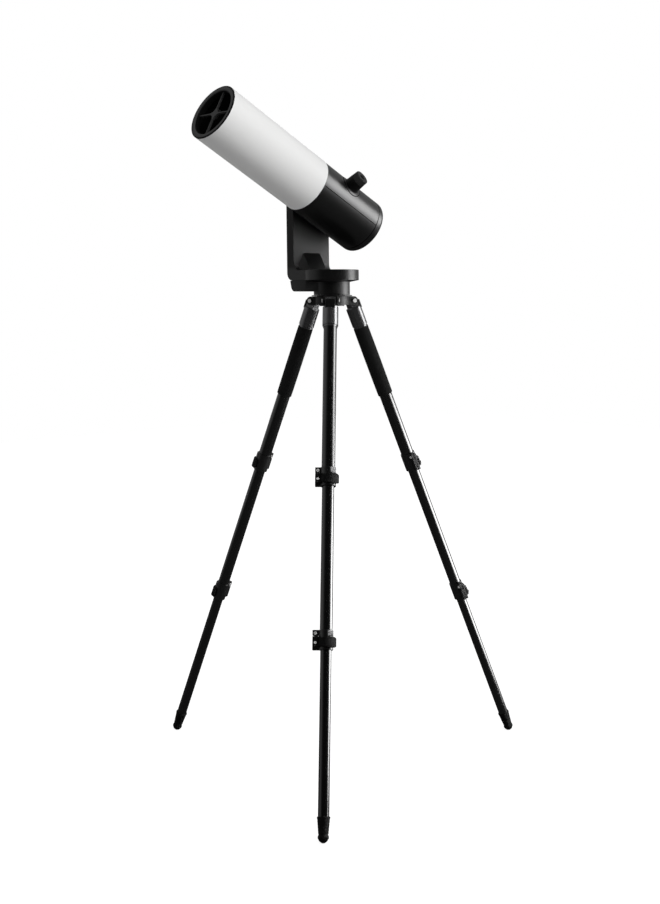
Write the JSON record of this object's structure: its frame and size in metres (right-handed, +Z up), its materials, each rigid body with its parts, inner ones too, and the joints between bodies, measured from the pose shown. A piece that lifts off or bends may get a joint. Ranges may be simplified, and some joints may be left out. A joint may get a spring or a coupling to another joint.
{
  "type": "motorised reflector telescope on tripod",
  "caption": "Motorised single-arm reflector telescope with open white tube, dark rear housing and side eyepiece, on a flip-lock folding tripod.",
  "frame": {"origin": "on the floor under the azimuth axis", "axes": "+Z up along the azimuth axis; the tube points towards +X and up in the XZ plane; the arm stands on the -Y side"},
  "size_m": [1.0125, 1.0041, 1.8546],
  "materials": {
    "black_casting": "satin black coating over cast aluminium",
    "black_anodised": "glossy black anodised",
    "grey_casting": "satin dark grey",
    "bare_aluminium": "machined",
    "steel": "brushed",
    "brass": "machined",
    "white_tube": "satin white coating over aluminium",
    "black_plastic": "satin black",
    "motor_plastic": "dark grey case",
    "foam": "matte closed-cell foam",
    "rubber": "matte",
    "mirror": "aluminised",
    "lens": "coated"
  },
  "bodies": {
    "head": {"tripod_head": "black_casting", "hinge_pins": "steel", "azimuth_spigot": "bare_aluminium"},
    "knob": {"fixing_knob": "black_plastic"},
    "base": {"arm_frame": "black_casting", "arm_cover": "black_plastic", "drive_box": "black_plastic", "foot_cover": "black_plastic", "axis_bearings": "steel", "drive_motors": "steel", "battery_pack": "motor_plastic"},
    "azimuth_pinion_body": {"azimuth_pinion": "brass"},
    "altitude_pinion_body": {"altitude_pinion": "brass"},
    "button_body": {"power_button": "black_plastic"},
    "tube": {"tube_shell": "white_tube", "front_ring": "black_plastic", "spider": "black_casting", "camera_unit": "black_casting", "upper_cover": "black_plastic", "lower_cover": "black_plastic", "rear_cap": "black_plastic", "primary_mirror": "mirror", "mirror_cell": "bare_aluminium", "altitude_hub": "bare_aluminium", "eyepiece_barrel": "black_plastic", "eye_lens": "lens"},
    "eyecup_body": {"eyecup": "rubber"},
    "leg_front": {"leg_front_cap": "grey_casting", "leg_front_upper_tube": "black_anodised", "leg_front_upper_clamp": "black_plastic"},
    "leg_front_stop": {"leg_front_stop_tab": "black_plastic"},
    "leg_front_upper_lever_body": {"leg_front_upper_lever": "black_plastic"},
    "leg_front_middle": {"leg_front_middle_tube": "black_anodised", "leg_front_lower_clamp": "black_plastic"},
    "leg_front_lower_lever_body": {"leg_front_lower_lever": "black_plastic"},
    "leg_front_lower": {"leg_front_lower_tube": "black_anodised", "leg_front_foot": "rubber"},
    "leg_left": {"leg_left_cap": "grey_casting", "leg_left_upper_tube": "black_anodised", "leg_left_upper_clamp": "black_plastic", "leg_left_grip": "foam"},
    "leg_left_stop": {"leg_left_stop_tab": "black_plastic"},
    "leg_left_upper_lever_body": {"leg_left_upper_lever": "black_plastic"},
    "leg_left_middle": {"leg_left_middle_tube": "black_anodised", "leg_left_lower_clamp": "black_plastic"},
    "leg_left_lower_lever_body": {"leg_left_lower_lever": "black_plastic"},
    "leg_left_lower": {"leg_left_lower_tube": "black_anodised", "leg_left_foot": "rubber"},
    "leg_right": {"leg_right_cap": "grey_casting", "leg_right_upper_tube": "black_anodised", "leg_right_upper_clamp": "black_plastic", "leg_right_grip": "foam"},
    "leg_right_stop": {"leg_right_stop_tab": "black_plastic"},
    "leg_right_upper_lever_body": {"leg_right_upper_lever": "black_plastic"},
    "leg_right_middle": {"leg_right_middle_tube": "black_anodised", "leg_right_lower_clamp": "black_plastic"},
    "leg_right_lower_lever_body": {"leg_right_lower_lever": "black_plastic"},
    "leg_right_lower": {"leg_right_lower_tube": "black_anodised", "leg_right_foot": "rubber"}
  },
  "joints": [
    {"name": "azimuth", "type": "hinge", "parent": "head", "child": "base", "pos_m": [0, 0, 1.36231], "axis": [0, 0, 1], "continuous": true},
    {"name": "altitude", "type": "hinge", "parent": "base", "child": "tube", "pos_m": [0, 0, 1.57401], "axis": [0, -1, 0], "range_deg": [-28, 62]},
    {"name": "azimuth_pinion", "type": "hinge", "parent": "base", "child": "azimuth_pinion_body", "pos_m": [0, -0.042, 1.34231], "axis": [0, 0, 1], "continuous": true},
    {"name": "altitude_pinion", "type": "hinge", "parent": "base", "child": "altitude_pinion_body", "pos_m": [0, -0.0925, 1.53001], "axis": [0, -1, 0], "range_deg": [-280, 127]},
    {"name": "power_button", "type": "slide", "parent": "base", "child": "button_body", "axis": [1, 0, 0], "range_m": [0, 0.0012], "stiffness_N_per_m": 400},
    {"name": "eyecup_focus", "type": "hinge", "parent": "tube", "child": "eyecup_body", "pos_m": [-0.0303, 0.07691, 1.631], "axis": [-0.3018, 0.766, 0.5675], "range_deg": [-60, 60]},
    {"name": "fixing_knob", "type": "hinge", "parent": "head", "child": "knob", "pos_m": [0, 0, 1.27612], "axis": [0, 0, 1], "continuous": true},
    {"name": "leg_front_spread", "type": "hinge", "parent": "head", "child": "leg_front", "pos_m": [0.04172, 0.04172, 1.30611], "axis": [-0.7071, 0.7071, 0], "range_deg": [0, 20]},
    {"name": "leg_front_angle_stop", "type": "slide", "parent": "leg_front", "child": "leg_front_stop", "axis": [0.6552, 0.6552, 0.3762], "range_m": [0, 0.006]},
    {"name": "leg_front_middle_slide", "type": "slide", "parent": "leg_front", "child": "leg_front_middle", "axis": [0.266, 0.266, -0.9265], "range_m": [-0.36, 0]},
    {"name": "leg_front_lower_slide", "type": "slide", "parent": "leg_front_middle", "child": "leg_front_lower", "axis": [0.266, 0.266, -0.9265], "range_m": [-0.36, 0]},
    {"name": "leg_front_upper_lever", "type": "hinge", "parent": "leg_front", "child": "leg_front_upper_lever_body", "pos_m": [0.19942, 0.16548, 0.85052], "axis": [0.266, 0.266, -0.9265], "range_deg": [0, 100]},
    {"name": "leg_front_lower_lever", "type": "hinge", "parent": "leg_front_middle", "child": "leg_front_lower_lever_body", "pos_m": [0.31222, 0.27828, 0.45767], "axis": [0.266, 0.266, -0.9265], "range_deg": [0, 100]},
    {"name": "leg_left_spread", "type": "hinge", "parent": "head", "child": "leg_left", "pos_m": [0.01527, -0.05699, 1.30611], "axis": [0.9659, 0.2588, 0], "range_deg": [0, 20]},
    {"name": "leg_left_angle_stop", "type": "slide", "parent": "leg_left", "child": "leg_left_stop", "axis": [0.2398, -0.895, 0.3762], "range_m": [0, 0.006]},
    {"name": "leg_left_middle_slide", "type": "slide", "parent": "leg_left", "child": "leg_left_middle", "axis": [0.0974, -0.3634, -0.9265], "range_m": [-0.36, 0]},
    {"name": "leg_left_lower_slide", "type": "slide", "parent": "leg_left_middle", "child": "leg_left_lower", "axis": [0.0974, -0.3634, -0.9265], "range_m": [-0.36, 0]},
    {"name": "leg_left_upper_lever", "type": "hinge", "parent": "leg_left", "child": "leg_left_upper_lever_body", "pos_m": [0.0436, -0.25545, 0.85052], "axis": [0.0974, -0.3634, -0.9265], "range_deg": [0, 100]},
    {"name": "leg_left_lower_lever", "type": "hinge", "parent": "leg_left_middle", "child": "leg_left_lower_lever_body", "pos_m": [0.08489, -0.40953, 0.45767], "axis": [0.0974, -0.3634, -0.9265], "range_deg": [0, 100]},
    {"name": "leg_right_spread", "type": "hinge", "parent": "head", "child": "leg_right", "pos_m": [-0.05699, 0.01527, 1.30611], "axis": [-0.2588, -0.9659, 0], "range_deg": [0, 20]},
    {"name": "leg_right_angle_stop", "type": "slide", "parent": "leg_right", "child": "leg_right_stop", "axis": [-0.895, 0.2398, 0.3762], "range_m": [0, 0.006]},
    {"name": "leg_right_middle_slide", "type": "slide", "parent": "leg_right", "child": "leg_right_middle", "axis": [-0.3634, 0.0974, -0.9265], "range_m": [-0.36, 0]},
    {"name": "leg_right_lower_slide", "type": "slide", "parent": "leg_right_middle", "child": "leg_right_lower", "axis": [-0.3634, 0.0974, -0.9265], "range_m": [-0.36, 0]},
    {"name": "leg_right_upper_lever", "type": "hinge", "parent": "leg_right", "child": "leg_right_upper_lever_body", "pos_m": [-0.24302, 0.08997, 0.85052], "axis": [-0.3634, 0.0974, -0.9265], "range_deg": [0, 100]},
    {"name": "leg_right_lower_lever", "type": "hinge", "parent": "leg_right_middle", "child": "leg_right_lower_lever_body", "pos_m": [-0.39711, 0.13125, 0.45767], "axis": [-0.3634, 0.0974, -0.9265], "range_deg": [0, 100]}
  ],
  "couplings": [
    {"joint": "azimuth_pinion", "follows": "azimuth", "ratio": 3.6667},
    {"joint": "altitude_pinion", "follows": "altitude", "ratio": -4.5}
  ]
}
